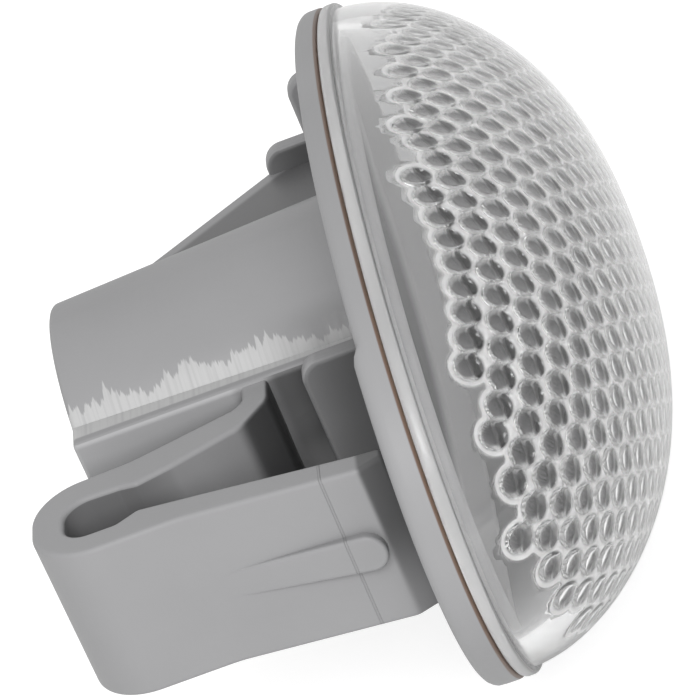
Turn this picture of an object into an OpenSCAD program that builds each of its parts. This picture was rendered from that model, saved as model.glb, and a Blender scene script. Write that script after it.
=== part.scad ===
// Vehicle indicator lamp (side repeater), made to clip into an oval hole in a car's wing.
// Millimetres. X runs along the oval, with the spring clip on the -X side; the lens
// faces -Y; Z is up. The origin is the middle of the flange's back, which rests on
// the panel. Two pieces: the grey housing and the clear lens, bonded at the seam.

/* [Lens] */
// length of the oval lens and flange along X
lens_len = 70; // [60:0.5:80]
// height of the oval lens and flange along Z
lens_w = 42; // [36:0.5:50]
// how far the top of the dome stands out from the seam
dome_h = 16.6; // [13:0.2:22]
// wall thickness of the lens at the top of the dome
lens_wall = 2.2; // [1.8:0.1:3]
// width of the lens's foot, where it is bonded to the flange
lens_foot = 2.4; // [2:0.1:3.5]
// distance between neighbouring pillows of the inner optics
pillow_pitch = 2.1; // [2:0.05:3]
// how far each pillow stands out of the inner surface
pillow_h = 0.4; // [0.2:0.05:0.6]
// width of the smooth border around the pillows
border_w = 1.8; // [1.5:0.1:5]

/* [Flange] */
// thickness of the flange between the panel and the seam
flange_t = 1.8; // [1.5:0.1:3]
// width of the bevel around the flange's back edge
flange_bevel = 0.6; // [0.3:0.1:1]

/* [Bulb tube] */
// outside diameter of the tube at its free end
tube_d = 21; // [20:0.2:24]
// length of the tube behind the flange
tube_len = 22.8; // [20:0.2:27]
// bore that takes the bulb holder
bore_d = 18; // [16:0.2:18.6]
// depth of the bore down to the holder's seat
bore_depth = 7; // [5:0.5:9]
// opening through the seat ring
seat_d = 15.4; // [12:0.2:16]

/* [Spring clip] */
// width of the clip along Z
clip_w = 12.2; // [9:0.2:14]
// thickness of the inner arm and of the fold's wall
arm_t = 2.4; // [1.9:0.1:2.8]
// thickness of the outer arm, which bends when the lamp is pushed in
outer_t = 2.2; // [1.7:0.1:2.6]
// distance from the tube's side to the middle of the fold
fold_out = 9.7; // [9:0.1:10.6]
// diameter of the round relief hole in the fold
relief_d = 4.7; // [3.7:0.1:5.3]
// distance from the lamp's middle to the clip's outer face beside the panel
clip_reach = 27; // [25.8:0.1:28]
// gap between the clip's free end and the flange
clip_gap = 1; // [0.6:0.1:1.6]

/* [Locating walls] */
// distance from the lamp's middle to the outer face of the braced wall
brace_reach = 19.2; // [17:0.2:21]
// height of the braced wall behind the flange
brace_high = 6.2; // [4:0.2:8]
// half the width of the locating walls along Z
wall_half = 8.4; // [7:0.2:9]
// thickness of the locating walls
wall_t = 1.6; // [1.3:0.1:2.2]
// distance from the flange's end to the hook wall's outer face
hook_inset = 2.6; // [2.2:0.1:4]

/* [Hidden] */
$fn = 96;
root_y = 9.4;
root_t = 2.1;
tube_r = tube_d / 2;
root_r = tube_r + 1;
pad_x = tube_r + 0.4;
fold_x = pad_x + fold_out - 0.2;
fold_y = tube_len - 1.6;
fold_r = relief_d / 2 + arm_t;
mid_r = relief_d / 2 + arm_t / 2;
edge_h = 1;
dome_a = lens_len / 2 - 0.5;
dome_b = lens_w / 2 - 0.5;
rim_a = lens_len / 2 - lens_foot;
rim_b = lens_w / 2 - lens_foot;
field_a = rim_a - border_w;
field_b = rim_b - border_w;
curve_n = 2.33;
curve_m = 1.74;
step_x = pillow_pitch / (2 * sqrt(3));
step_z = pillow_pitch / 2;
lens_y = -flange_t;

// The lens: one polyhedron whose rows of points run across the oval.

// Height of the dome, as a share of its full height, at the share r of its half width.
function dome(r) = pow(max(0, 1 - pow(min(r, 1), curve_n)), 1 / curve_m);
function share(x, z, a, b) = sqrt(x * x / (a * a) + z * z / (b * b));

// The pillows stand on a hexagonal lattice whose closest lines run along Z.
// Columns of centres are 3 step_x apart and every other column is shifted by step_z.
function centre(x, z, c) =
    [3 * step_x * c, step_z * (2 * round((z / step_z - c % 2) / 2) + c % 2)];
function bump(x, z, p) =
    share(p[0], p[1], field_a, field_b) > 1 ? 0 :
    pillow_h * max(0, 1 - (pow(x - p[0], 2) + pow(z - p[1], 2)) * 3 / pow(pillow_pitch, 2));
function pillow(x, z) =
    let (c = floor(x / (3 * step_x)))
    max(bump(x, z, centre(x, z, c)), bump(x, z, centre(x, z, c + 1)));

// Rows of points across the lens, given by the angle each row meets the rim at.
// The even rows carry the pillow lattice, and four more close each end of the oval.
even_rows = floor(0.93 * rim_b / step_z);
end_angle = asin(even_rows * step_z / rim_b);
angles = concat(
    [for (k = [4:-1:1]) -end_angle - (90 - end_angle) * k / 5],
    [for (k = [-even_rows:even_rows]) asin(k * step_z / rim_b)],
    [for (k = [1:4]) end_angle + (90 - end_angle) * k / 5]);
rows = len(angles);

// Inner surface: each row has the lattice points inside the rim and one point on it.
reach = [for (t = angles) max(0, floor((rim_a * cos(t) - 0.35 * step_x) / step_x))];
starts = [for (r = 0, s = 0; r <= rows; s = s + (r < rows ? 2 * reach[r] + 3 : 0), r = r + 1) s];
function inner_y(x, z) =
    lens_y - (dome_h - lens_wall) * dome(share(x, z, rim_a, rim_b)) + pillow(x, z);
inner_points = concat(
    [for (r = [0:rows - 1]) let (z = rim_b * sin(angles[r]), e = rim_a * cos(angles[r]))
        for (i = [-reach[r] - 1:reach[r] + 1])
            abs(i) > reach[r] ? [sign(i) * e, lens_y, z]
                : [i * step_x, inner_y(i * step_x, z), z]],
    [[0, lens_y, -rim_b], [0, lens_y, rim_b]]);
inner_low = starts[rows];
inner_high = inner_low + 1;
function at(r, i) = starts[r] + i + reach[r] + 1;

// Two rows of different length: squares over the shared part, fans at both ends.
function square_faces(r, i, k) =
    (i + k) % 2 == 0
        ? [[at(r, i), at(r + 1, i + 1), at(r + 1, i)], [at(r, i), at(r, i + 1), at(r + 1, i + 1)]]
        : [[at(r, i), at(r, i + 1), at(r + 1, i)], [at(r, i + 1), at(r + 1, i + 1), at(r + 1, i)]];
function fan_faces(r) =
    let (lo = reach[r], hi = reach[r + 1], n = min(lo, hi))
    lo <= hi
        ? concat(
            [[at(r, n), at(r, n + 1), at(r + 1, n)], [at(r, -n), at(r + 1, -n), at(r, -n - 1)]],
            [for (i = [n:hi]) [at(r, n + 1), at(r + 1, i + 1), at(r + 1, i)]],
            [for (i = [n:hi]) [at(r, -n - 1), at(r + 1, -i), at(r + 1, -i - 1)]])
        : concat(
            [[at(r, n), at(r + 1, n + 1), at(r + 1, n)], [at(r, -n), at(r + 1, -n), at(r + 1, -n - 1)]],
            [for (i = [n:lo]) [at(r, i), at(r, i + 1), at(r + 1, n + 1)]],
            [for (i = [n:lo]) [at(r, -i), at(r + 1, -n - 1), at(r, -i - 1)]]);
inner_faces = concat(
    [for (r = [0:rows - 2]) let (n = min(reach[r], reach[r + 1]))
        if (n > 0) for (i = [-n:n - 1], f = square_faces(r, i, r + even_rows)) f],
    [for (r = [0:rows - 2], f = fan_faces(r)) f],
    [for (i = [-reach[0] - 1:reach[0]]) [inner_low, at(0, i + 1), at(0, i)]],
    [for (i = [-reach[rows - 1] - 1:reach[rows - 1]])
        [at(rows - 1, i), at(rows - 1, i + 1), inner_high]]);

// Outer surface: the same rows, each with the same number of points, closer at the edge.
half = 12;
wide = 2 * half + 1;
outer_points = concat(
    [for (t = angles, m = [-half:half])
        let (x = dome_a * cos(t) * sin(90 * m / half), z = dome_b * sin(t))
        [x, abs(m) == half ? lens_y - edge_h
            : lens_y - edge_h - (dome_h - edge_h) * dome(share(x, z, dome_a, dome_b)), z]],
    [[0, lens_y - edge_h, -dome_b], [0, lens_y - edge_h, dome_b]]);
first = len(inner_points);
outer_low = first + rows * wide;
outer_high = outer_low + 1;
function over(r, m) = first + r * wide + m;
outer_faces = concat(
    [for (r = [0:rows - 2], m = [0:wide - 2]) [over(r, m), over(r + 1, m), over(r + 1, m + 1)]],
    [for (r = [0:rows - 2], m = [0:wide - 2]) [over(r, m), over(r + 1, m + 1), over(r, m + 1)]],
    [for (m = [0:wide - 2]) [outer_low, over(0, m), over(0, m + 1)]],
    [for (m = [0:wide - 2]) [over(rows - 1, m), outer_high, over(rows - 1, m + 1)]]);

// Four loops around the rim close the lens: foot, edge, ledge and inner rim.
turns = concat([90], [for (r = [rows - 1:-1:0]) angles[r]], [-90],
    [for (r = [0:rows - 1]) 180 - angles[r]]);
around = len(turns);
foot_first = outer_high + 1;
edge_first = foot_first + around;
rim_points = [for (y = [lens_y, lens_y - edge_h], t = turns)
    [lens_len / 2 * cos(t), y, lens_w / 2 * sin(t)]];
ledge_loop = concat([outer_high], [for (r = [rows - 1:-1:0]) over(r, wide - 1)],
    [outer_low], [for (r = [0:rows - 1]) over(r, 0)]);
inner_loop = concat([inner_high], [for (r = [rows - 1:-1:0]) at(r, reach[r] + 1)],
    [inner_low], [for (r = [0:rows - 1]) at(r, -reach[r] - 1)]);
function joined(p, q) = concat(
    [for (j = [0:around - 1]) let (n = (j + 1) % around) [p[j], p[n], q[n]]],
    [for (j = [0:around - 1]) let (n = (j + 1) % around) [p[j], q[n], q[j]]]);
foot_loop = [for (j = [0:around - 1]) foot_first + j];
edge_loop = [for (j = [0:around - 1]) edge_first + j];
rim_faces = concat(joined(foot_loop, edge_loop), joined(edge_loop, ledge_loop),
    joined(inner_loop, foot_loop));

module lens() {
    color([0.86, 0.87, 0.88, 0.55])
    polyhedron(points = concat(inner_points, outer_points, rim_points),
        faces = concat(inner_faces, outer_faces, rim_faces), convexity = 6);
}

// The housing: flange, bulb tube, clip and locating walls in one moulding.

// An oval disc from y0 towards the lens, its far face smaller by the given bevel.
module oval(length, height, y0, thick, bevel = 0) {
    translate([0, y0, 0])
        rotate([90, 0, 0])
        scale([length / 2, height / 2, 1])
        cylinder(h = thick, r1 = 1 - 2 * bevel / (length + height) * 2, r2 = 1);
}

// A straight bar with round ends, drawn flat; it may taper from t to t2.
module bar(p, q, t, t2) {
    e = is_undef(t2) ? t : t2;
    d = q - p;
    n = [-d[1], d[0]] / norm(d) / 2;
    polygon([p + n * t, q + n * e, q - n * e, p - n * t]);
    translate(p) circle(d = t);
    translate(q) circle(d = e);
}

// A plate standing on the flange across X, its two rear corners rounded.
module cross_wall(x, thick, wide_half, high, corner) {
    translate([x, 0, 0]) rotate([90, 0, 90])
    linear_extrude(thick) {
        translate([-0.5, -wide_half]) square([high - corner + 0.5, 2 * wide_half]);
        translate([0, corner - wide_half]) square([high, 2 * (wide_half - corner)]);
        for (s = [-1, 1])
            translate([high - corner, s * (wide_half - corner)]) circle(r = corner);
    }
}

// The clip seen from +Z: root, inner arm, fold with its relief hole, outer arm, ramp.
module clip_profile() {
    fold = [-fold_x, fold_y];
    root = [-pad_x - 3.3, root_y + 0.9];
    tip = [-clip_reach + outer_t / 2 + 0.1, 3.4];
    k = relief_d / 2;
    difference() {
        union() {
            bar([-tube_r + 1.2, root_y], root, root_t);
            bar(root, fold + [k + 1, -2], root_t, arm_t + 0.6);
            translate(fold) circle(r = fold_r);
            bar(fold + [-k - 0.4, -3.8], tip, outer_t + 0.2, outer_t);
            polygon([tip + [-outer_t / 2, 0.2], tip + [outer_t / 2, 0],
                [-clip_reach + outer_t - 0.1, clip_gap], [-clip_reach + 1.1, clip_gap],
                [-clip_reach, 2.7]]);
        }
        translate(fold) circle(r = k);
        // slot from the relief hole out between the two arms
        polygon([fold + [0.8 * k, -1], fold + [-0.6 * k, -1], fold + [-0.6 * k, -3.4],
            fold + [-0.9 * k, -fold_r - 2.7], fold + [1.2 * k, -fold_r - 2.7],
            fold + [1.04 * k, -5.4], fold + [0.8 * k, -2.8]]);
    }
}

module clip() {
    linear_extrude(clip_w, center = true) clip_profile();
    // wedge that stiffens the outer face and guides it through the panel's hole
    linear_extrude(2.5, center = true)
        polygon([[-fold_x - mid_r + 0.2, 14.8], [-fold_x - mid_r - 0.7, 14.8],
            [-clip_reach - 0.6, 4.4], [-clip_reach - 0.4, 3.3], [-clip_reach + 0.8, 3]]);
}

// The oval flange, cut flat at the back, where it rests on the panel.
module flange() {
    difference() {
        union() {
            oval(lens_len, lens_w, -flange_bevel, flange_t - flange_bevel);
            oval(lens_len, lens_w, 0.2, flange_bevel + 0.2, flange_bevel + 0.2);
        }
        translate([-lens_len, 0, -lens_w]) cube([2 * lens_len, 3, 2 * lens_w]);
    }
}

module tube() {
    translate([0, -0.5, 0]) rotate([-90, 0, 0])
        cylinder(h = tube_len + 0.5, r1 = root_r, r2 = tube_r);
    // flat pad the clip grows from, as wide as the clip
    translate([-pad_x, 0, -clip_w / 2]) cube([pad_x - 4, tube_len, clip_w]);
}

// The braced wall opposite the clip, with two webs that run up to the tube.
module braced_wall() {
    cross_wall(brace_reach - wall_t, wall_t, wall_half, brace_high, 1.5);
    web_z = wall_half - 2.2;
    for (s = [-1, 1])
        translate([0, 0, s * web_z])
        linear_extrude(1.4, center = true)
        polygon([[tube_r - 4, -0.5], [brace_reach - 0.5, -0.5],
            [brace_reach - 0.5, brace_high - 0.3],
            [sqrt(pow(tube_r, 2) - pow(web_z, 2)) - 0.3, 0.8 * tube_len], [tube_r - 4, 0.8 * tube_len]]);
}

// The hook wall at the end of the flange: its nose reaches behind the panel's edge.
module hook() {
    x = lens_len / 2 - hook_inset;
    half_z = 0.94 * lens_w / 2 * sqrt(1 - pow(2 * x / lens_len, 2));
    cross_wall(x - wall_t, wall_t, half_z, 4.4, 1.5);
    linear_extrude(8, center = true)
        polygon([[x - 0.6, 1.1], [x + 0.9, 1.1], [x + 1.5, 1.8], [x + 0.6, 3.2], [x - 0.6, 3.2]]);
}

module housing() {
    color([0.62, 0.62, 0.63])
    difference() {
        union() {
            flange();
            // raised ring that centres the lens from inside
            difference() {
                oval(2 * rim_a - 1.4, 2 * rim_b - 1.4, -flange_t + 0.5, 2.1);
                oval(2 * rim_a - 3.8, 2 * rim_b - 3.8, -flange_t + 1, 3.2);
            }
            tube();
            clip();
            braced_wall();
            hook();
            cross_wall(-pad_x - 4.2, wall_t, wall_half, 5.6, 1.5);
        }
        translate([0, tube_len + 1, 0]) rotate([90, 0, 0])
            cylinder(h = bore_depth + 1, d = bore_d);
        translate([0, tube_len + 1, 0]) rotate([90, 0, 0])
            cylinder(h = tube_len + flange_t + 2, d = seat_d);
        translate([0, tube_len - bore_depth - 1.6, 0]) rotate([90, 0, 0])
            cylinder(h = tube_len, d = bore_d);
    }
}

housing();
lens();
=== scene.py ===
import math
import bmesh
import bpy
import numpy as np
from mathutils import Matrix, Vector


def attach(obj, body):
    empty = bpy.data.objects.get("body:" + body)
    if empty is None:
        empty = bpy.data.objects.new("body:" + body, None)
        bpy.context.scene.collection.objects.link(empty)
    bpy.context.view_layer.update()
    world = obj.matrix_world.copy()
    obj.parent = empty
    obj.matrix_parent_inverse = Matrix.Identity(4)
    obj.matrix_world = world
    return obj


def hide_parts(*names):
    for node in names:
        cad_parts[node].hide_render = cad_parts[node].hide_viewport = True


# An oval indicator lamp: grey moulded housing and clear lens, drawn in millimetres
# and turned into metres when a mesh is made. X is long, the lens faces -Y, Z is up.

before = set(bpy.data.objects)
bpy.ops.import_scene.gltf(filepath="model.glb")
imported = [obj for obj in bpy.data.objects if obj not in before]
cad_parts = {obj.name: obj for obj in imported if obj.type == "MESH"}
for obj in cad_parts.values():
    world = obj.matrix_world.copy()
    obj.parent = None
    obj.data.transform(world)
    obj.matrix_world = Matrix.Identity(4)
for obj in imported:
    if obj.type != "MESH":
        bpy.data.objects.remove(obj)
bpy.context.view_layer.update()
scene = bpy.context.scene
mm = 0.001
print("frame loaded")


# meshes

# A mesh from points in millimetres and several arrays of faces, a row of corners each.
def makeMesh(name, points, *faces):
    faces = [np.atleast_2d(f) for f in faces]
    loops = np.concatenate([f.ravel() for f in faces])
    counts = np.concatenate([np.full(len(f), f.shape[1]) for f in faces])
    starts = np.concatenate([[0], np.cumsum(counts)[:-1]])
    mesh = bpy.data.meshes.new(name)
    mesh.vertices.add(len(points))
    mesh.vertices.foreach_set("co", (np.asarray(points) * mm).astype(np.float32).ravel())
    mesh.loops.add(len(loops))
    mesh.loops.foreach_set("vertex_index", loops.astype(np.int32))
    mesh.polygons.add(len(counts))
    mesh.polygons.foreach_set("loop_start", starts.astype(np.int32))
    mesh.update(calc_edges=True)
    mesh.validate()
    shell = bmesh.new()
    shell.from_mesh(mesh)
    bmesh.ops.recalc_face_normals(shell, faces=shell.faces)
    shell.to_mesh(mesh)
    shell.free()
    mesh.polygons.foreach_set("use_smooth", np.ones(len(mesh.polygons), bool))
    obj = bpy.data.objects.new(name, mesh)
    scene.collection.objects.link(obj)
    return obj


# The quads of a grid of rows by columns, closed in either direction if asked.
def gridQuads(rows, columns, closeRows=False, closeColumns=False, first=0):
    r = np.arange(rows if closeRows else rows - 1)[:, None]
    c = np.arange(columns if closeColumns else columns - 1)[None, :]
    rn = (r + 1) % rows
    cn = (c + 1) % columns
    quads = np.stack([r * columns + c, r * columns + cn,
                      rn * columns + cn, rn * columns + c], -1)
    return first + quads.reshape(-1, 4)


# A closed outline from corners (x, y, radius): each corner becomes an arc that
# touches both of its sides, at the distance radius / tan(half the corner's angle).
def roundedOutline(corners, perTurn=64):
    pieces = []
    count = len(corners)
    for i in range(count):
        p = np.array(corners[i][:2], float)
        a = np.array(corners[i - 1][:2], float) - p
        b = np.array(corners[(i + 1) % count][:2], float) - p
        la, lb = np.linalg.norm(a), np.linalg.norm(b)
        a, b = a / la, b / lb
        half = 0.5 * math.acos(max(-1, min(1, float(a @ b))))
        reach = min(corners[i][2] / math.tan(half), 0.49 * la, 0.49 * lb)
        radius = reach * math.tan(half)
        if radius < 0.02:
            pieces.append(p[None])
            continue
        centre = p + (a + b) / np.linalg.norm(a + b) * radius / math.sin(half)
        start, end = p + a * reach - centre, p + b * reach - centre
        angle = math.atan2(start[1], start[0])
        turn = math.atan2(end[1], end[0]) - angle
        turn = (turn + math.pi) % (2 * math.pi) - math.pi
        steps = max(4, int(abs(turn) / (2 * math.pi) * perTurn))
        t = angle + turn * np.linspace(0, 1, steps + 1)
        pieces.append(centre + radius * np.stack([np.cos(t), np.sin(t)], -1))
    return np.concatenate(pieces)


# Outward unit normals of a closed outline that runs anticlockwise: the mean direction of
# the two sides at each point, turned right.
def outlineNormals(outline):
    ahead = np.roll(outline, -1, 0) - outline
    ahead /= np.maximum(np.linalg.norm(ahead, axis=1), 1e-9)[:, None]
    along = ahead + np.roll(ahead, 1, 0)
    along /= np.maximum(np.linalg.norm(along, axis=1), 1e-9)[:, None]
    return np.stack([along[:, 1], -along[:, 0]], -1)


# The outline run anticlockwise: its area, half the sum of the cross products, is positive.
def turnedLeft(outline):
    x, y = outline[:, 0], outline[:, 1]
    area = np.sum(x * np.roll(y, -1) - np.roll(x, -1) * y)
    return outline if area > 0 else outline[::-1]


# A plate from an outline: its section is drawn at many heights from low to high, and
# near both ends it shrinks by edge * (1 - sin a) while the height moves by edge * (1 - cos a).
# The radius of an outer corner is 0 or more than edge, or else the section turns over there.
def softSlab(name, outline, low, high, edge, axes, bend=None, steps=5):
    outline = turnedLeft(outline)
    normals = outlineNormals(outline)
    a = np.linspace(0, math.pi / 2, steps + 1)
    heights = np.concatenate([low + edge * (1 - np.cos(a)), high - edge * (1 - np.cos(a[::-1]))])
    insets = np.concatenate([edge * (1 - np.sin(a)), edge * (1 - np.sin(a[::-1]))])
    flat = outline[None] - normals[None] * insets[:, None, None]
    points = np.zeros((len(heights), len(outline), 3))
    points[..., axes[0]] = flat[..., 0]
    points[..., axes[1]] = flat[..., 1]
    points[..., axes[2]] = heights[:, None]
    if bend:
        points = bend(points)
    rows, columns = points.shape[:2]
    quads = gridQuads(rows, columns, closeColumns=True)
    bottom = np.arange(columns)
    top = (rows - 1) * columns + np.arange(columns)
    return makeMesh(name, points.reshape(-1, 3), quads, bottom, top)


def weightNormals(obj):
    obj.modifiers.new("weighted", "WEIGHTED_NORMAL").keep_sharp = True


# lens

lens = {
    "length": 70, "height": 42,      # oval at the seam
    "dome": 16.6,                    # apex above the seam
    "wall": 2.2, "foot": 2.4,        # thickness at the apex and at the rim
    "edge": 1.0, "ledge": 0.5,       # straight edge above the seam, step to the dome
    "pitch": 2.2, "pillow": 0.5,     # pillow spacing and height
    "cap": 3.0,                      # power of a pillow's fall: the more, the flatter its top
    "field": 0.962, "fieldUp": 0.948,    # share of the inner rim with pillows, along X and Z
    "seam": -1.8,                    # place of the seam plane along Y
    "powerIn": 2.33, "powerOut": 1.74,    # curve of the dome
    "across": 350, "up": 210,        # inner grid, four steps of it to one around the edge
}


# Height of the dome as a share: (1 - r ** powerIn) ** (1 / powerOut), with r the share of
# the way from the middle to the rim.
def domeShare(r):
    return np.clip(1 - np.clip(r, 0, 1) ** lens["powerIn"], 0, 1) ** (1 / lens["powerOut"])


# Inner dome height above the seam at a plan point, and how steeply it falls along X and Z,
# which is the derivative of domeShare times x / (a * a) and z / (b * b).
def innerDome(x, z):
    a, b, high = *innerRim(), lens["dome"] - lens["wall"]
    powerIn, powerOut = lens["powerIn"], lens["powerOut"]
    r = np.clip(np.hypot(x / a, z / b), 1e-6, 0.9995)
    left = 1 - r ** powerIn
    fall = high * left ** (1 / powerOut - 1) * powerIn / powerOut * r ** (powerIn - 2)
    return high * domeShare(np.hypot(x / a, z / b)), fall * x / a ** 2, fall * z / b ** 2


# Half the length and height of the inner dome at the seam.
def innerRim():
    return lens["length"] / 2 - lens["foot"], lens["height"] / 2 - lens["foot"]


# Length along the dome from its long middle plane to z, in the section at x:
# the sum over forty strips of their width times sqrt(1 + slope * slope).
def arcAcross(x, z):
    arc = np.zeros_like(x)
    for k in range(40):
        slope = innerDome(x, z * (k + 0.5) / 40)[2]
        arc += z / 40 * np.sqrt(1 + np.minimum(np.abs(slope), 3) ** 2)
    return arc


# The same along X in the middle section, as a table of plan distance and length; the plan
# steps, half * (1 - (1 - t) ** 1.5), get finer towards the rim.
def arcAlong(half):
    plan = half * (1 - (1 - np.linspace(0, 1, 600)) ** 1.5)
    mid = (plan[1:] + plan[:-1]) / 2
    slope = np.minimum(innerDome(mid, 0 * mid)[1], 3)
    return plan, np.concatenate([[0], np.cumsum(np.diff(plan) * np.sqrt(1 + slope ** 2))])


# Middles of the pillows as points: columns at even lengths along the dome, in each
# column even lengths across it, every other column shifted by half a pitch.
def pillowMiddles():
    a, b = innerRim()
    plan, arc = arcAlong(a)
    spots = []
    for c in range(-30, 31):
        x = np.interp(abs(c) * lens["pitch"] * math.sqrt(3) / 2, arc, plan) * np.sign(c)
        if abs(x) >= lens["field"] * a:
            continue
        reach = lens["fieldUp"] * b * math.sqrt(1 - (x / (lens["field"] * a)) ** 2)
        planZ = np.linspace(0, reach, 200)
        arcZ = arcAcross(np.full(200, x), planZ)
        steps = np.arange(-30, 31) * lens["pitch"] + (lens["pitch"] / 2 if c % 2 else 0)
        steps = steps[np.abs(steps) <= arcZ[-1]]
        z = np.sign(steps) * np.interp(np.abs(steps), arcZ, planZ)
        spots.append(np.stack([np.full(len(z), x), lens["seam"] - innerDome(x, z)[0], z], -1))
    return np.concatenate(spots)


# Pillow height: a round button on each middle, 1 - d ** cap with d the straight distance
# to the middle as a share of the button's radius; the tallest one wins.
def pillowHeight(points):
    nearest = np.full(points.shape[:-1], 9.0)
    for middle in pillowMiddles():
        nearest = np.minimum(nearest, ((points - middle) ** 2).sum(-1))
    share = np.sqrt(nearest * 3) / lens["pitch"]
    return lens["pillow"] * np.clip(1 - share ** lens["cap"], 0, 1), share


# The lens: an outer dome, an edge and foot, and an inner dome with pillows. The inner dome
# is a square mapped to an oval, x = u * sqrt(1 - v * v / 2), z = v * sqrt(1 - u * u / 2).
# The attribute fromMiddle is the distance to the nearest pillow's middle as a share of its
# radius, and 9 for points that aren't on the inner dome.
def makeLens():
    a, b = lens["length"] / 2, lens["height"] / 2
    seam, edge = lens["seam"], lens["edge"]
    nu, nv = lens["across"], lens["up"]
    u, v = np.meshgrid(np.linspace(-1, 1, nu + 1), np.linspace(-1, 1, nv + 1), indexing="ij")
    mapX = u * np.sqrt(1 - v * v / 2)
    mapZ = v * np.sqrt(1 - u * u / 2)
    rimA, rimB = innerRim()
    x, z = mapX * rimA, mapZ * rimB
    high, slopeX, slopeZ = innerDome(x, z)
    height, share = pillowHeight(np.stack([x, seam - high, z], -1))
    fromMiddle = share.ravel()
    up = height / np.sqrt(1 + slopeX ** 2 + slopeZ ** 2)
    inner = np.stack([x - slopeX * up, seam - high + up, z - slopeZ * up], -1).reshape(-1, 3)
    innerQuads = gridQuads(nu + 1, nv + 1)
    index = np.arange((nu + 1) * (nv + 1)).reshape(nu + 1, nv + 1)
    rimLoop = np.concatenate([index[:-1, 0], index[-1, :-1], index[:0:-1, -1], index[0, :0:-1]])
    rimPoints = inner[rimLoop]
    turn = np.arctan2(rimPoints[::4, 2] / rimB, rimPoints[::4, 0] / rimA)
    n = len(turn)
    # edge profile: inset from the oval and height above the seam, from the foot outwards
    profile = [(0.35, 0), (0.22, 0.03), (0.1, 0.1), (0.03, 0.2), (0, 0.32), (0, edge - 0.25),
               (0.04, edge - 0.13), (0.12, edge - 0.04), (0.22, edge), (lens["ledge"], edge)]
    inset, high = np.array(profile).T[:, :, None]
    foot = np.stack([(a - inset) * np.cos(turn), seam - high + 0 * turn,
                     (b - inset) * np.sin(turn)], -1)
    share = np.sin(np.linspace(math.pi / 2, 0, 58)[1:-1])[:, None]
    high = edge + (lens["dome"] - edge) * domeShare(share)
    dome = np.stack([(a - lens["ledge"]) * share * np.cos(turn), seam - high + 0 * turn,
                     (b - lens["ledge"]) * share * np.sin(turn)], -1)
    rows = np.concatenate([foot, dome])
    first = len(inner)
    outerQuads = gridQuads(len(rows), n, closeColumns=True, first=first)
    start = np.arange(n)
    around = rimLoop[(4 * start[:, None] + np.arange(5)) % len(rimLoop)]
    underFoot = np.concatenate([around, first + ((start + 1) % n)[:, None],
                                first + start[:, None]], 1)
    tip = first + (len(rows) - 1) * n + start
    points = np.concatenate([inner, rows.reshape(-1, 3)])
    shell = makeMesh("clearLens", points, innerQuads, outerQuads, underFoot, tip)
    level = np.full(len(points), 9.0, np.float32)
    level[:len(inner)] = fromMiddle
    shell.data.attributes.new("fromMiddle", "FLOAT", "POINT").data.foreach_set("value", level)
    return shell


# housing

housing = {
    "length": 70, "height": 42, "flange": 1.8,
    "step": 0.45,                    # extra flange thickness behind the clip
    "tubeRoot": 11.5, "tubeEnd": 10.5, "tubeLength": 22.8, "rootFillet": 0.5,
    "bore": 9.0, "seat": 7.7, "boreDepth": 7, "seatThick": 1.6,
    "ring": 1.6,                     # height of the ring on the front face, inside the lens
    "ringOuter": 3.1, "ringInner": 4.3,    # insets of the ring's two sides from the oval
    "pad": 10.9, "padHalf": 6.3,     # flat side of the tube, from the middle
    "clipHalf": 6.1, "clipEdge": 0.36,
    "ribProud": 0.8, "ribTip": 3.0, "ribEnd": 15.2,     # wedge on the clip's outer face
    "wall": 1.6, "wallEdge": 0.42, "wallCorner": 1.5,
    "clipWall": (-15.1, 8.4, 5.6),   # place along X, half width and height of each wall
    "bracedWall": (17.6, 8.7, 6.4),
    "hookWall": (30.8, 7.5, 4.4),
    "webAt": 6.2, "webHalf": 0.7,    # the webs' middle heights and half thickness
    "noseHalf": 4, "softEdge": 0.3,  # small rounding of the pad, wedge, webs and nose
}


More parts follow.
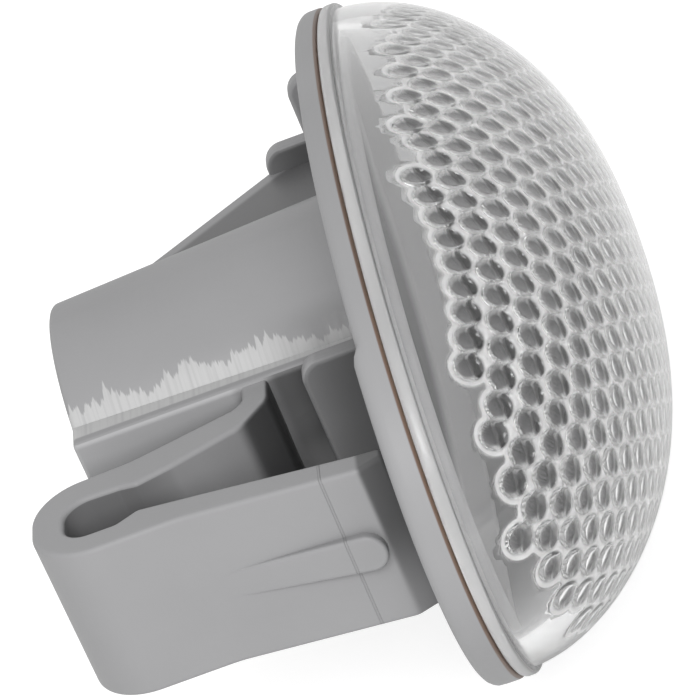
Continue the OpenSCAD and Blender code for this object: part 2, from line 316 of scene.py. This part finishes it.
# Flange and tube in one turned profile. Each profile point is a share w of the oval
# inset by o and the rest of a circle of radius r: x = (1 - w) * r * cos t + w * (A - o) * cos t.
def makeBody():
    h = housing
    face, length, fillet = -h["flange"], h["tubeLength"], h["rootFillet"]
    bore, seat = h["bore"], h["seat"]
    shoulder = length - h["boreDepth"]
    under = shoulder - h["seatThick"]
    top = face - h["ring"]
    inner, outer = h["ringInner"], h["ringOuter"]
    bendIn = [(0, h["tubeRoot"] + fillet * (1 - math.sin(a)), 0, fillet * (1 - math.cos(a)))
              for a in np.linspace(0, math.pi / 2, 6)]
    side = [(0, h["tubeRoot"] + (h["tubeEnd"] - h["tubeRoot"]) * t, 0,
             fillet + (length - fillet - 0.4) * t) for t in np.linspace(0.04, 1, 14)]
    lip = [(0, h["tubeEnd"] - 0.4 * (1 - math.cos(a)), 0, length - 0.4 * (1 - math.sin(a)))
           for a in np.linspace(0.25, math.pi / 2, 5)]
    lipIn = [(0, bore + 0.3 * (1 - math.sin(a)), 0, length - 0.3 * (1 - math.cos(a)))
             for a in np.linspace(0, math.pi / 2, 5)]
    inside = [(0, bore, 0, shoulder + 0.05), (0, bore - 0.05, 0, shoulder),
              (0, seat + 0.15, 0, shoulder), (0, seat, 0, shoulder - 0.15),
              (0, seat, 0, under + 0.15), (0, seat + 0.15, 0, under),
              (0, bore - 0.05, 0, under), (0, bore, 0, under - 0.05),
              (0, bore, 0, 6), (0, bore, 0, face + 0.4),
              (0, bore + 0.1, 0, face + 0.12), (0, bore + 0.4, 0, face)]
    front = [(w, bore + 0.4, inner + 0.2, face) for w in (0.15, 0.4, 0.7, 0.9)]
    ring = [(1, 0, inner + 0.1, face), (1, 0, inner, face - 0.1),
            (1, 0, inner, top + 0.15), (1, 0, inner - 0.15, top),
            (1, 0, outer + 0.15, top), (1, 0, outer, top + 0.15),
            (1, 0, outer, face - 0.1), (1, 0, outer - 0.1, face)]
    rim = [(1, 0, 0.42, face), (1, 0, 0.26, face + 0.03), (1, 0, 0.12, face + 0.1),
           (1, 0, 0.03, face + 0.22), (1, 0, 0, face + 0.36), (1, 0, 0, -0.72),
           (1, 0, 0.04, -0.52), (1, 0, 0.14, -0.32), (1, 0, 0.3, -0.14),
           (1, 0, 0.5, -0.03), (1, 0, 0.7, 0), (1, 0, 1.4, 0)]
    back = [(w, h["tubeRoot"] + fillet, 3, 0) for w in (0.9, 0.6, 0.3, 0.1)]
    profile = np.array(inside + front + ring + rim + back + bendIn + side + lip + lipIn)
    w, r, o, y = profile.T[:, :, None]
    t = np.linspace(0, 2 * math.pi, 288, endpoint=False)[None]
    x = ((1 - w) * r + w * (h["length"] / 2 - o)) * np.cos(t)
    z = ((1 - w) * r + w * (h["height"] / 2 - o)) * np.sin(t)
    behindClip = np.clip((-x - 25.6) / 0.6, 0, 1) * np.clip((y + 0.75) / 0.1, 0, 1) * (w > 0.4)
    points = np.stack([x, y + h["step"] * behindClip, z], -1)
    return makeMesh("body", points.reshape(-1, 3), gridQuads(len(profile), 288, True, True))


# The flat pad on the tube's side: a bar along Y with a hollow inner side, an arc just
# outside the bore.
def makePad():
    h = housing
    half = h["padHalf"]
    z = np.linspace(half, -half, 15)
    inner = np.stack([-np.sqrt((h["bore"] + 0.45) ** 2 - z ** 2), z], -1)
    corners = roundedOutline([(-h["pad"], -half, 0.45), (-h["pad"], half, 0.45),
                              (-7.3, half, 0), (-7.3, -half, 0)])
    outline = np.concatenate([corners[:-2], inner])
    return softSlab("pad", outline, -0.4, h["tubeLength"] - 0.05, h["softEdge"], (0, 2, 1))


# The clip's side view, one closed line round root, arms, fold, relief hole and slot.
def makeClip():
    h = housing
    underRoot = [(-9.6, 8.35, 0), (-13.2, 8.45, 1.6), (-15.9, 10.6, 2.2), (-17.75, 15.6, 6)]
    hole = [(-18.5, 18.3, 0.7), (-18.2, 19.6, 0.9), (-18.05, 23.6, 2.3), (-22.78, 23.6, 2.3),
            (-22.75, 19.9, 1.0), (-21.85, 18.3, 0.8)]
    outerArm = [(-22.65, 14, 8), (-24.75, 3.2, 2), (-25.05, 1.05, 0.45), (-26.2, 1.05, 0.5),
                (-27.0, 2.9, 1.2), (-25.0, 15.6, 9)]
    fold = [(-25.17, 25.95, 4.6), (-15.65, 25.95, 4.6), (-15.2, 18.6, 6)]
    overRoot = [(-13.2, 11.0, 1.2), (-12.4, 10.4, 0.8), (-9.6, 10.35, 0)]
    line = roundedOutline(underRoot + hole + outerArm + fold + overRoot, 96)
    return softSlab("clip", line, -h["clipHalf"], h["clipHalf"], h["clipEdge"], (0, 1, 2), steps=6)


# Height of the clip's outer face, x as a straight line of y.
def outerFace(y):
    return -26.95 + (y - 2.9) * 0.154


# The guide rib, a round-ended wedge that rises from the outer face towards the flange:
# its outer side stands proud by ribProud * (1 - (y - 4) / 10.8).
def makeRib():
    h = housing
    tip, end, thick = h["ribTip"], h["ribEnd"], 1.5
    line = [(tip, -1.45, 1.4), (tip, 1.45, 1.4), (end, 1.05, 0.5), (end, -1.05, 0.5)]

    def bend(points):
        y = points[..., 1]
        proud = h["ribProud"] * (1 - (y - 4) / 10.8)
        points[..., 0] = outerFace(y) + thick - proud - points[..., 0]
        return points
    return softSlab("rib", roundedOutline(line), 0, thick, h["softEdge"], (1, 2, 0), bend)


def makeWall(name):
    h = housing
    x, half, high = h[name]
    corner = h["wallCorner"]
    line = [(-0.5, -half, 0), (-0.5, half, 0), (high, half, corner), (high, -half, corner)]
    return softSlab(name, roundedOutline(line), x, x + h["wall"], h["wallEdge"], (1, 2, 0))


# The webs from the tube to the braced wall, one above and one below the middle.
def makeWebs():
    h = housing
    line = roundedOutline([(7.5, -0.4, 0), (18.6, -0.4, 0), (18.6, 5.9, 0.5), (9.2, 18.0, 0.6),
                           (7.5, 18.2, 0)])
    return [softSlab(name, line, z - h["webHalf"], z + h["webHalf"], h["softEdge"], (0, 1, 2))
            for name, z in (("webLow", -h["webAt"]), ("webHigh", h["webAt"]))]


def makeNose():
    h = housing
    line = roundedOutline([(31.6, 1.1, 0), (33.3, 1.1, 0.45), (33.9, 1.8, 0.45), (33.0, 3.2, 0.6),
                           (31.6, 3.4, 0)])
    return softSlab("nose", line, -h["noseHalf"], h["noseHalf"], h["softEdge"], (0, 1, 2))


# All the moulding's forms become one closed mesh.
def makeHousing():
    body = makeBody()
    forms = [makePad(), makeClip(), makeRib(), makeNose(), *makeWebs(),
             makeWall("clipWall"), makeWall("bracedWall"), makeWall("hookWall")]
    holder = bpy.data.collections.new("forms")
    for form in forms:
        holder.objects.link(form)
    union = body.modifiers.new("union", "BOOLEAN")
    union.operand_type = "COLLECTION"
    union.collection = holder
    union.operation = "UNION"
    union.solver = "EXACT"
    bpy.context.view_layer.update()
    shown = body.evaluated_get(bpy.context.evaluated_depsgraph_get())
    merged = bpy.data.meshes.new_from_object(shown)
    body.modifiers.clear()
    old = body.data
    body.data = merged
    bpy.data.meshes.remove(old)
    for form in forms:
        bpy.data.objects.remove(form)
    bpy.data.collections.remove(holder)
    body.name = merged.name = "mouldedHousing"
    return body


# finishes

def newMaterial(name):
    material = bpy.data.materials.new(name)
    material.use_nodes = True
    nodes, links = material.node_tree.nodes, material.node_tree.links
    return material, nodes, links, nodes["Principled BSDF"]


# A node that does one sum; an input is a number or another node's output.
def mathNode(nodes, links, operation, *inputs, clamp=False):
    node = nodes.new("ShaderNodeMath")
    node.operation = operation
    node.use_clamp = clamp
    for socket, value in zip(node.inputs, inputs):
        if isinstance(value, (int, float)):
            socket.default_value = value
        else:
            links.new(value, socket)
    return node.outputs[0]


# 0 below low, 1 above high, a soft step between them.
def softStep(nodes, links, value, low, high):
    node = nodes.new("ShaderNodeMapRange")
    node.interpolation_type = "SMOOTHSTEP"
    links.new(value, node.inputs["Value"])
    node.inputs["From Min"].default_value = low
    node.inputs["From Max"].default_value = high
    return node.outputs["Result"]


# The first colour where factor is 0, the second one where it is 1.
def mixColour(nodes, links, factor, first, second):
    node = nodes.new("ShaderNodeMix")
    node.data_type = "RGBA"
    for index, value in ((0, factor), (6, first), (7, second)):
        socket = node.inputs[index]
        if isinstance(value, (int, float, tuple)):
            socket.default_value = value
        else:
            links.new(value, socket)
    return node.outputs[2]


greyPlastic = {
    "colour": (0.180, 0.180, 0.183, 1),
    "rim": (0.95, 0.95, 0.952, 1),          # painted light on the front face near the lens
    "inside": (0.05, 0.05, 0.052, 1),       # painted shade on the front face near the tube, and deep in the tube
    "seam": (0.09, 0.055, 0.038, 1),        # brown weld along the lens
    "roughness": 0.45, "tubeRoughness": 0.375,
    "streakGloss": 0.16, "streakHeight": 0.5,    # what the streaks around the tube change
    "grain": 2600, "grainHeight": 0.000008,  # fine grain of the mould, in metres
    "mottle": 0.05, "mottleSize": 140,      # share by which the grey varies, and its scale
    "lineAt": 0.0055, "lineHalf": 0.00012,  # flash line across the clip
    "line": (0.1, 0.1, 0.1, 1), "lineShare": 0.15, "lineHeight": 7,
    "highlightTop": 0.0074, "paintedHighlight": (0.30, 0.30, 0.30, 1),     # painted highlight: a pale streaky band on the tube, up to its top edge
    "hollow": 0.12, "hollowReach": 0.008,   # share of painted shade in recesses, and how far off
    "hollowPower": 1.6,
    "slotHollow": 0.85,                     # the same painted shade between the clip's two arms
    "foot": 0.42, "farFoot": 0.22,          # shares of painted shade at the walls' feet, more beyond the tube
    "rampLow": 0.2, "rampHigh": 0.45,       # shares of painted shade on the clip's ramp, more on its upper half
}

# Places in metres: for each coordinate the range over which the place sets in and the one
# over which it ends, None where it has no end. A side is the limit for |z|. Sideways, ahead
# and upwards are the normal's parts, and fromSlope is the distance from the webs' slope.
# painted shade between the clip's two arms
slotPlace = {"x": ((-0.0245, -0.0235), (-0.0116, -0.0110)), "y": (None, (0.009, 0.014))}
# painted shade at the walls' feet
footPlace = {"y": (None, (0.003, 0.010)), "sideways": ((0.6, 0.8), None),
             "x": ((-0.0243, -0.0235), (0.028, 0.029))}
# painted shade on the clip's ramp
rampPlace = {"y": ((0.0006, 0.0009), (0.0027, 0.0031)), "x": (None, (-0.0247, -0.0243))}

# Places that the photo shows darker or lighter, each with the share by which the grey
# changes: painted light and shade, not the plastic's own colour.
shades = {
    "underRoot": (-0.72, {"ahead": (None, (-0.8, -0.4)), "y": ((0.007, 0.0075), (0.0115, 0.013)),
                          "x": ((-0.0170, -0.0150), None)}),
    "padLow": (-0.6, {"x": ((-0.0115, -0.0112), (-0.0104, -0.0100)),
                      "y": (None, (0.0076, 0.0090)), "side": 0.0062}),
    "webTop": (-0.55, {"upwards": ((0.6, 0.9), None), "fromSlope": ((0.0009, 0.0015), None),
                       "x": ((0.0085, 0.0095), (0.0176, 0.0178)),
                       "z": ((0.0060, 0.0064), (0.0075, 0.0078))}),
    "padHigh": (0.35, {"x": ((-0.0115, -0.0112), (-0.0107, -0.0104)),
                       "y": ((0.0104, 0.0112), None), "side": 0.0062}),
    "reliefHole": (-0.4, {"x": ((-0.0232, -0.0230), (-0.0179, -0.0177)),
                          "y": ((0.014, 0.019), (0.0238, 0.0240)), "side": 0.0058}),
}


# Noise between 0 and 1, stretched along the axes; the shift keeps 0, 0, 0 off its lattice.
def noise(nodes, links, place, scale, detail=2, stretch=(1, 1, 1)):
    mapping = nodes.new("ShaderNodeMapping")
    mapping.inputs["Scale"].default_value = stretch
    mapping.inputs["Location"].default_value = (0.37, 0.37, 0.37)
    links.new(place, mapping.inputs["Vector"])
    texture = nodes.new("ShaderNodeTexNoise")
    texture.inputs["Scale"].default_value = scale
    texture.inputs["Detail"].default_value = detail
    links.new(mapping.outputs[0], texture.inputs["Vector"])
    return texture.outputs["Fac"]


# Satin grey moulding: a front face painted pale near the lens and dark near the tube, a
# bore painted dark, a brown weld, fine grain, a glossier tube with streaks around it and a
# painted highlight band, the flash line across the clip, painted shade in recesses, and the
# darker and lighter places above, which are painted light and shade.
def makeGreyPlastic():
    look = greyPlastic
    material, nodes, links, shader = newMaterial("satinGrey")
    coordinates = nodes.new("ShaderNodeTexCoord")
    place = coordinates.outputs["Object"]

    def sums(operation, *inputs, clamp=False):
        return mathNode(nodes, links, operation, *inputs, clamp=clamp)

    def times(first, *others):
        for other in others:
            first = sums("MULTIPLY", first, other)
        return first

    def rises(value, low, high):
        return softStep(nodes, links, value, low, high)

    def falls(value, low, high):
        return sums("SUBTRACT", 1, rises(value, low, high))

    def length(first, second):
        return sums("SQRT", sums("ADD", sums("POWER", first, 2), sums("POWER", second, 2)))

    def parts(vector):
        split = nodes.new("ShaderNodeSeparateXYZ")
        links.new(vector, split.inputs[0])
        return split.outputs

    def streaky(detail, *stretch):
        return noise(nodes, links, place, 1, detail, stretch)

    x, y, z = parts(place)
    normalX, normalY, normalZ = parts(coordinates.outputs["Normal"])
    fromSlope = sums("ADD", times(sums("SUBTRACT", 0.0186, x), 0.79),
                     times(sums("SUBTRACT", 0.0059, y), 0.61))
    at = {"x": x, "y": y, "z": z, "sideways": sums("ABSOLUTE", normalX), "ahead": normalY,
          "upwards": normalZ, "fromSlope": fromSlope}

    # 1 inside a place and 0 outside: the product of a rise and a fall for each coordinate
    def inside(ranges):
        factors = []
        for name, ends in ranges.items():
            if name == "side":
                factors.append(sums("LESS_THAN", sums("ABSOLUTE", z), ends))
                continue
            if ends[0]:
                factors.append(rises(at[name], *ends[0]))
            if ends[1]:
                factors.append(falls(at[name], *ends[1]))
        return times(*factors)

    oval = length(times(x, 1 / 0.035), times(z, 1 / 0.021))
    radius = length(x, z)
    front = falls(y, -0.00175, -0.0016)
    bore = times(falls(radius, 0.0092, 0.0094), falls(y, 0.012, 0.017))
    weld = times(falls(y, -0.0016, -0.0015), rises(oval, 0.978, 0.984))
    tube = times(falls(radius, 0.0117, 0.0119), rises(y, 0.0008, 0.0014), falls(x, -0.002, 0))
    flash = times(falls(x, -0.0246, -0.0242),
                  falls(sums("ABSOLUTE", sums("SUBTRACT", y, look["lineAt"])),
                        look["lineHalf"] * 0.4, look["lineHalf"]))

    # the painted highlight band: its top edge is jagged by a fine and a coarse noise
    jag = sums("ADD", sums("MULTIPLY_ADD", streaky(2, 60, 3200, 150), 0.0020, -0.0010),
               sums("MULTIPLY_ADD", streaky(1, 30, 260, 30), 0.0024, -0.0012))
    highlightBand = times(falls(sums("ADD", z, jag), look["highlightTop"] - 0.0002, look["highlightTop"]),
                 rises(z, 0.0060, 0.0063), tube,
                 sums("MULTIPLY_ADD", streaky(1, 60, 3600, 90), 1.3, 0.3, clamp=True))

    grey = nodes.new("ShaderNodeHueSaturation")
    grey.inputs["Color"].default_value = look["colour"]
    mottle = noise(nodes, links, place, look["mottleSize"], 3)
    links.new(sums("MULTIPLY_ADD", mottle, 2 * look["mottle"], 1 - look["mottle"]),
              grey.inputs["Value"])
    colour = grey.outputs[0]
    # painted light and shade: the front face goes from dark near the tube to pale near the lens,
    # and the bore is dark
    faceShade = mixColour(nodes, links, rises(oval, 0.5, 0.85), look["inside"], look["rim"])
    for share, second in ((sums("MAXIMUM", front, bore), faceShade),
                          (times(flash, look["lineShare"]), look["line"]),
                          (weld, look["seam"]), (highlightBand, look["paintedHighlight"])):
        colour = mixColour(nodes, links, share, colour, second)

    # painted shade in recesses: 1 - share * (1 - openness ** hollowPower), then the painted places
    recess = nodes.new("ShaderNodeAmbientOcclusion")
    recess.inputs["Distance"].default_value = look["hollowReach"]
    recess.samples = 8
    closed = sums("SUBTRACT", 1, sums("POWER", recess.outputs["AO"], look["hollowPower"]))
    hollowShare = sums("MULTIPLY_ADD", inside(slotPlace), look["slotHollow"] - look["hollow"],
                       look["hollow"])
    footShare = sums("MULTIPLY_ADD", rises(x, 0.004, 0.010), look["farFoot"], look["foot"])
    rampShare = sums("MULTIPLY_ADD", rises(z, -0.005, 0.002), look["rampHigh"], look["rampLow"])
    shade = sums("SUBTRACT", 1, times(hollowShare, closed))
    for share, ranges in ((footShare, footPlace), (rampShare, rampPlace)):
        shade = times(shade, sums("SUBTRACT", 1, times(inside(ranges), share)))
    for share, ranges in shades.values():
        shade = times(shade, sums("MULTIPLY_ADD", inside(ranges), share, 1))
    shaded = nodes.new("ShaderNodeVectorMath")
    shaded.operation = "SCALE"
    links.new(colour, shaded.inputs[0])
    links.new(sums("MAXIMUM", shade, front), shaded.inputs["Scale"])
    links.new(shaded.outputs[0], shader.inputs["Base Color"])

    streaks = streaky(1, 35, 2600, 35)
    gloss = sums("MULTIPLY_ADD", streaks, look["streakGloss"],
                 look["tubeRoughness"] - look["streakGloss"] / 2)
    rough = nodes.new("ShaderNodeMix")
    links.new(tube, rough.inputs[0])
    rough.inputs[2].default_value = look["roughness"]
    links.new(gloss, rough.inputs[3])
    links.new(rough.outputs[0], shader.inputs["Roughness"])
    height = sums("ADD", noise(nodes, links, place, look["grain"], 2),
                  sums("ADD", times(streaks, look["streakHeight"]),
                       times(flash, look["lineHeight"])))
    bump = nodes.new("ShaderNodeBump")
    bump.inputs["Strength"].default_value = 1
    bump.inputs["Distance"].default_value = look["grainHeight"]
    links.new(height, bump.inputs["Height"])
    links.new(bump.outputs[0], shader.inputs["Normal"])
    return material


clearPlastic = {
    "roughness": 0.015, "edgeRoughness": 0.3, "ior": 1.49,
    "top": (0.07, 0.07, 0.072, 1), "topEdge": (0.42, 0.70),   # painted shade: grey on the pillows' tops
    "net": 0.78, "netEdge": (0.70, 0.92),    # share of painted light, white on the net between the pillows
    "edgePaintedWhite": 0.12,                       # the same painted white on the matt edge
    "side": (0.5, 0.5, 0.505, 1), "sidePaintedWhite": 0.15,        # painted grey shade on the smooth inner side around the pillows, and its share of painted white
    "netEnd": (1.02, 1.12), "sideStart": (1.05, 1.25),     # where one ends and one begins
    "matt": (-0.0031, -0.0027),             # where along Y the lens turns into its matt edge
}


# Clear acrylic with a moulded matt edge, pillow tops painted grey as shade, a net between them
# painted white as light, and painted grey and white on the smooth side and the matt edge.
def makeClearPlastic():
    look = clearPlastic
    material, nodes, links, shader = newMaterial("clearAcrylic")
    split = nodes.new("ShaderNodeSeparateXYZ")
    links.new(nodes.new("ShaderNodeTexCoord").outputs["Object"], split.inputs[0])
    attribute = nodes.new("ShaderNodeAttribute")
    attribute.attribute_name = "fromMiddle"
    share = attribute.outputs["Fac"]

    def sums(operation, *inputs):
        return mathNode(nodes, links, operation, *inputs)

    def step(value, ends):
        return softStep(nodes, links, value, *ends)

    edge = step(split.outputs[1], look["matt"])
    smooth = look["roughness"]
    links.new(sums("MULTIPLY_ADD", edge, look["edgeRoughness"] - smooth, smooth),
              shader.inputs["Roughness"])
    # painted shade: the pillows' tops and the smooth side around them are tinted grey
    side = sums("MULTIPLY", step(share, look["sideStart"]), sums("LESS_THAN", share, 8))
    topShade = mixColour(nodes, links, step(share, look["topEdge"]), look["top"], (1, 1, 1, 1))
    links.new(mixColour(nodes, links, side, topShade, look["side"]), shader.inputs["Base Color"])
    shader.inputs["IOR"].default_value = look["ior"]
    # painted light: a white share on the net between the pillows, on the matt edge and on the side
    net = sums("MULTIPLY", step(share, look["netEdge"]),
               sums("SUBTRACT", 1, step(share, look["netEnd"])))
    paintedWhite = sums("ADD", sums("MULTIPLY", net, look["net"]),
                 sums("MULTIPLY", edge, look["edgePaintedWhite"]))
    paintedWhite = sums("ADD", paintedWhite, sums("MULTIPLY", side, look["sidePaintedWhite"]))
    links.new(sums("SUBTRACT", 1, paintedWhite), shader.inputs["Transmission Weight"])
    return material


clearLens = makeLens()
print("lens made", len(clearLens.data.polygons))
mouldedHousing = makeHousing()
print("housing made", len(mouldedHousing.data.polygons))
weightNormals(mouldedHousing)
mouldedHousing.data.set_sharp_from_angle(angle=math.radians(38))
for piece, node, makeLook in ((clearLens, "lens", makeClearPlastic),
                              (mouldedHousing, "housing", makeGreyPlastic)):
    piece.data.materials.clear()
    piece.data.materials.append(makeLook())
    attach(piece, "root")
    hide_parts(node)


# stage

stage = {
    "camera": (-0.27581, -0.03226, 0.14817),
    "right": (-0.0652, -0.935, -0.3487), "ahead": (0.8755, 0.1141, -0.4696),
    "focal": 4404.4 / 700 * 36,
    "floorHeight": -0.0211,
    "floorSeen": (0.35, 0.35, 0.35, 1),      # its own glow is added to this
    "floorBounce": (0.8, 0.8, 0.8, 1),       # floor colour for all rays but the camera's
    "floorGlow": 0.77,                       # strength of that glow
    "skyDiffuse": 0.8, "skyThrough": 1.05,   # world light on matt surfaces, and through the lens
    # lights: place, size in metres and power in watts
    "key": ((-0.40, 0.066, 0.43), 0.3, 1.2),
    "fill": ((-0.36, -0.05, 0.19), 0.2, 1.25),
    "strip": ((-0.335, 0.055, 0.36), 0.12, 0.35), "stripWidth": 0.05,
}


# The camera looks along ahead; up is right x ahead, and right is made square to both.
def makeCamera():
    ahead = Vector(stage["ahead"]).normalized()
    up = Vector(stage["right"]).cross(ahead).normalized()
    right = ahead.cross(up).normalized()
    camera = bpy.data.cameras.new("photoCamera")
    camera.sensor_width = 36
    camera.lens = stage["focal"]
    camera.clip_start = 0.01
    obj = bpy.data.objects.new("photoCamera", camera)
    scene.collection.objects.link(obj)
    turned = Matrix((right, up, -ahead)).transposed().to_4x4()
    obj.matrix_world = Matrix.Translation(stage["camera"]) @ turned
    scene.camera = obj


# A pale floor that the camera sees almost white, with its own glow, and that is a plain
# matt surface for all other rays.
def makeFloor():
    z = stage["floorHeight"]
    mesh = bpy.data.meshes.new("floor")
    mesh.from_pydata([(-2, -2, z), (2, -2, z), (2, 2, z), (-2, 2, z)], [], [(0, 1, 2, 3)])
    floor = bpy.data.objects.new("floor", mesh)
    scene.collection.objects.link(floor)
    material, nodes, links, shader = newMaterial("paleFloor")
    path = nodes.new("ShaderNodeLightPath")
    seen = path.outputs["Is Camera Ray"]
    colour = mixColour(nodes, links, seen, stage["floorBounce"], stage["floorSeen"])
    links.new(colour, shader.inputs["Base Color"])
    shader.inputs["Emission Color"].default_value = (1, 1, 1, 1)
    links.new(mathNode(nodes, links, "MULTIPLY", seen, stage["floorGlow"]),
              shader.inputs["Emission Strength"])
    shader.inputs["Roughness"].default_value = 0.8
    shader.inputs["Specular IOR Level"].default_value = 0.1
    mesh.materials.append(material)


# A round soft light that points at the origin.
def makeLight(name):
    place, size, power = stage[name]
    light = bpy.data.lights.new(name, "AREA")
    light.shape = "DISK"
    light.size = size
    light.energy = power
    obj = bpy.data.objects.new(name, light)
    scene.collection.objects.link(obj)
    obj.location = place
    obj.rotation_euler = (-Vector(place)).to_track_quat("-Z", "Y").to_euler()
    return obj


# Key and fill leave no reflection; the strip is the only lamp that is reflected.
def makeLights():
    key, fill, strip = makeLight("key"), makeLight("fill"), makeLight("strip")
    key.visible_glossy = False
    fill.visible_glossy = False
    fill.visible_transmission = False
    strip.data.shape = "RECTANGLE"
    strip.data.size_y = stage["stripWidth"]


# White light from all sides, weaker on matt surfaces: skyThrough plus the difference for
# diffuse rays.
def makeWorld():
    world = bpy.data.worlds.new("studio")
    world.use_nodes = True
    nodes, links = world.node_tree.nodes, world.node_tree.links
    path = nodes.new("ShaderNodeLightPath")
    strength = mathNode(nodes, links, "MULTIPLY_ADD", path.outputs["Is Diffuse Ray"],
                        stage["skyDiffuse"] - stage["skyThrough"], stage["skyThrough"])
    nodes["Background"].inputs[0].default_value = (1, 1, 1, 1)
    links.new(strength, nodes["Background"].inputs[1])
    scene.world = world


makeCamera()
makeFloor()
makeLights()
makeWorld()
scene.view_settings.view_transform = "Standard"
print("stage made")
